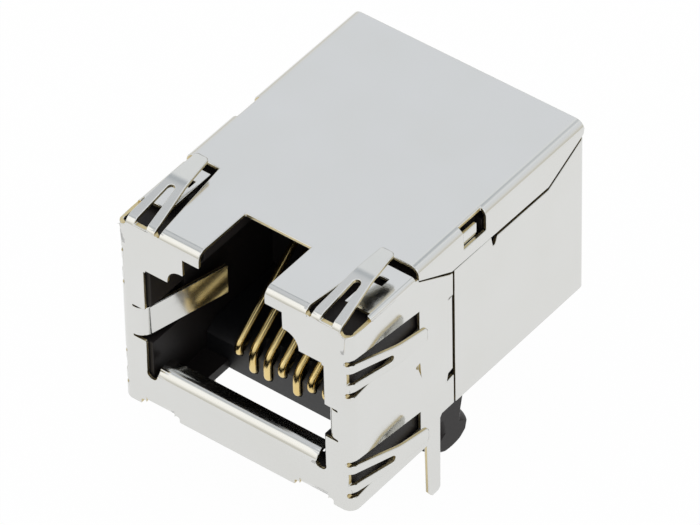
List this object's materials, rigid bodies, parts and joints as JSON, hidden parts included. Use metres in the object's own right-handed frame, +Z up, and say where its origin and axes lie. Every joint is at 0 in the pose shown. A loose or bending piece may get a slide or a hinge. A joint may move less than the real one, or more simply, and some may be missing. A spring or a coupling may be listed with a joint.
{
  "type": "rj45 board jack",
  "caption": "Shielded board-mount modular jack with one plug opening, lanced spring fingers, eight spring contacts, two snap pegs and built-in magnetics.",
  "frame": {"origin": "midway between the two snap pegs, on the plane of the board's top", "axes": "+Z up from the board, -Y out of the plug opening, +X to the right seen from the front"},
  "size_m": [0.018, 0.0211, 0.0186],
  "materials": {
    "plated_shield": "bright nickel-plated brass sheet, raw brass at the cut edges",
    "black_housing": "moulded, satin",
    "grey_carrier": "moulded, satin",
    "gold_contact": "gold-plated wire",
    "module_board": "solder mask",
    "tray_plastic": "moulded, satin",
    "ferrite": "matt ferrite",
    "enamelled_copper": "enamelled copper wire",
    "resistor_body": "chip resistor",
    "capacitor_body": "ceramic chip",
    "tinned_pin": "tinned copper"
  },
  "bodies": {
    "root": {"front_shield": "plated_shield", "rear_shield": "plated_shield", "housing": "black_housing", "contact_carrier": "grey_carrier", "contact_1": "gold_contact", "contact_2": "gold_contact", "contact_3": "gold_contact", "contact_4": "gold_contact", "contact_5": "gold_contact", "contact_6": "gold_contact", "contact_7": "gold_contact", "contact_8": "gold_contact", "module_board": "module_board", "coil_tray": "tray_plastic", "core_1": "ferrite", "core_2": "ferrite", "core_3": "ferrite", "core_4": "ferrite", "winding_1": "enamelled_copper", "winding_2": "enamelled_copper", "winding_3": "enamelled_copper", "winding_4": "enamelled_copper", "resistor_1": "resistor_body", "resistor_2": "resistor_body", "resistor_3": "resistor_body", "resistor_4": "resistor_body", "capacitor": "capacitor_body", "board_pin_1": "tinned_pin", "board_pin_2": "tinned_pin", "board_pin_3": "tinned_pin", "board_pin_4": "tinned_pin", "board_pin_5": "tinned_pin", "board_pin_6": "tinned_pin", "board_pin_7": "tinned_pin", "board_pin_8": "tinned_pin"}
  },
  "joints": []
}
